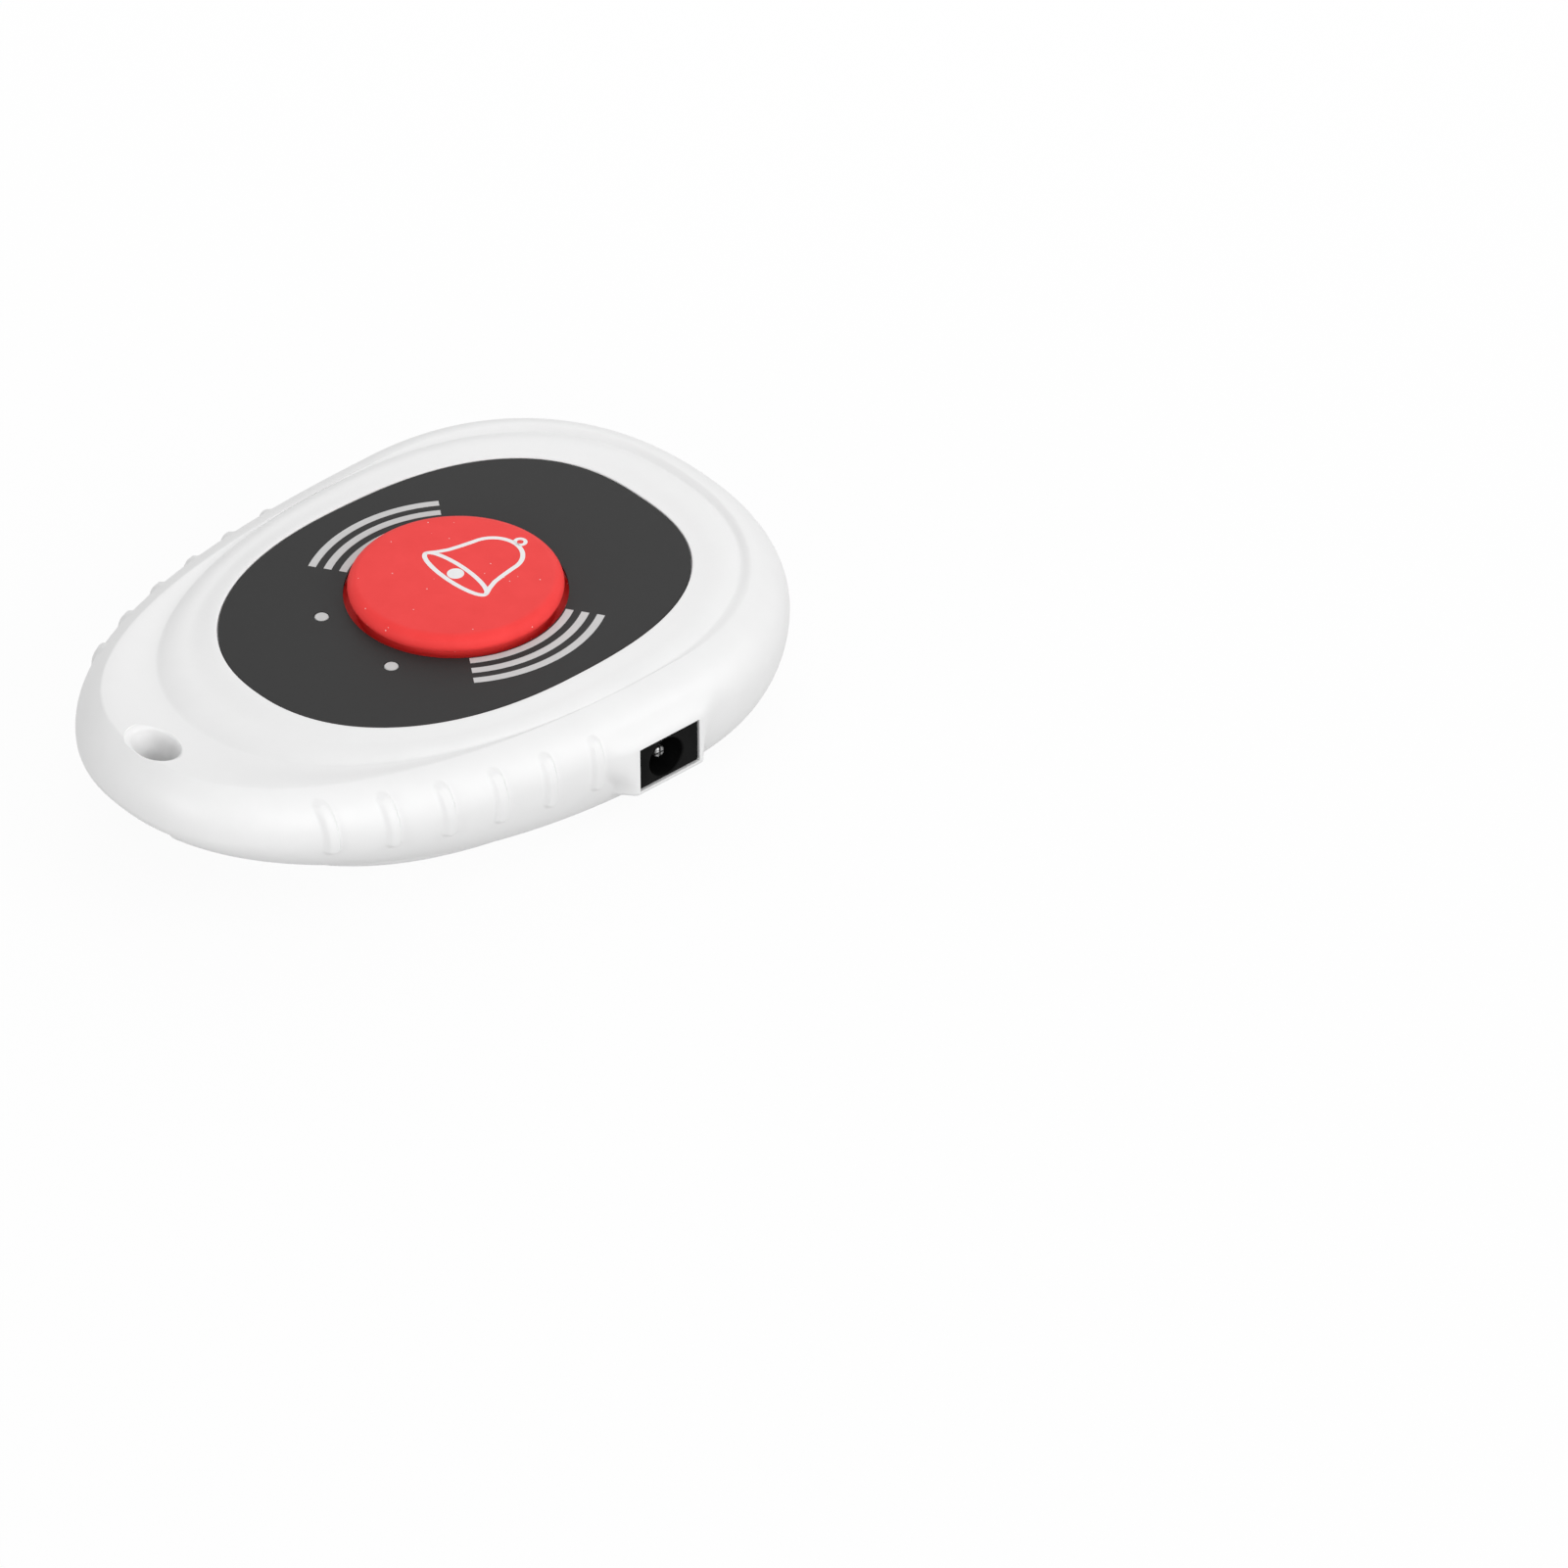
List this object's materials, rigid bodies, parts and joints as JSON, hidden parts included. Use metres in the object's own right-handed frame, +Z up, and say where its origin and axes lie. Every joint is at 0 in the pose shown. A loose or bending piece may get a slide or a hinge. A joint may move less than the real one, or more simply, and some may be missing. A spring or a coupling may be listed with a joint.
{
  "type": "wireless call button",
  "caption": "Egg-shaped hand-held wireless call button with a large round push button, printed face film, grip ribs, lanyard hole and a charging socket in its side.",
  "frame": {"origin": "on the resting face under the axis of the push button", "axes": "+Z up out of the printed face, +Y towards the wide end, +X towards the charging socket"},
  "size_m": [0.0557, 0.0782, 0.0171],
  "materials": {
    "white_plastic": "satin white moulding",
    "grey_film": "matt printed film",
    "clear_plastic": "clear moulding",
    "red_silicone": "matt silicone",
    "green_laminate": "lacquered laminate",
    "black_plastic": "matt moulding",
    "yellow_plastic": "matt moulding",
    "plated_steel": "tin plated",
    "spring_brass": "rolled strip",
    "copper_wire": "enamelled wire",
    "ceramic": "fired ceramic",
    "foil": "laminated foil",
    "foam_tape": "foam",
    "red_insulation": "smooth",
    "black_insulation": "smooth"
  },
  "bodies": {
    "case": {"upper_shell": "white_plastic", "lower_shell": "white_plastic", "face_overlay": "grey_film", "led_windows": "clear_plastic", "circuit_board": "green_laminate", "switch_base": "black_plastic", "switch_cover": "plated_steel", "switch_dome": "plated_steel", "switch_legs": "plated_steel", "indicator_leds": "clear_plastic", "led_leads": "plated_steel", "socket_housing": "black_plastic", "socket_pin": "plated_steel", "socket_spring": "spring_brass", "socket_terminals": "plated_steel", "controller_chip": "black_plastic", "controller_legs": "plated_steel", "charger_chip": "black_plastic", "charger_legs": "plated_steel", "radio_resonator": "plated_steel", "radio_transistor": "black_plastic", "transistor_legs": "plated_steel", "antenna_coil": "copper_wire", "chip_resistors": "black_plastic", "chip_capacitors": "ceramic", "battery_pouch": "foil", "battery_tape": "foam_tape", "battery_lead_red": "red_insulation", "battery_lead_black": "black_insulation", "cover_screws": "plated_steel"},
    "button": {"call_button": "red_silicone"},
    "plunger": {"switch_plunger": "yellow_plastic"}
  },
  "joints": [
    {"name": "button_press", "type": "slide", "parent": "case", "child": "button", "axis": [0, 0, -1], "range_m": [0, 0.0005], "stiffness_N_per_m": 2000, "springref_m": -0.0005},
    {"name": "plunger_press", "type": "slide", "parent": "case", "child": "plunger", "axis": [0, 0, -1], "range_m": [0, 0.0005], "stiffness_N_per_m": 200, "springref_m": -0.0005, "deforming": ["switch_dome"]}
  ],
  "couplings": [
    {"joint": "plunger_press", "follows": "button_press", "ratio": 1}
  ]
}
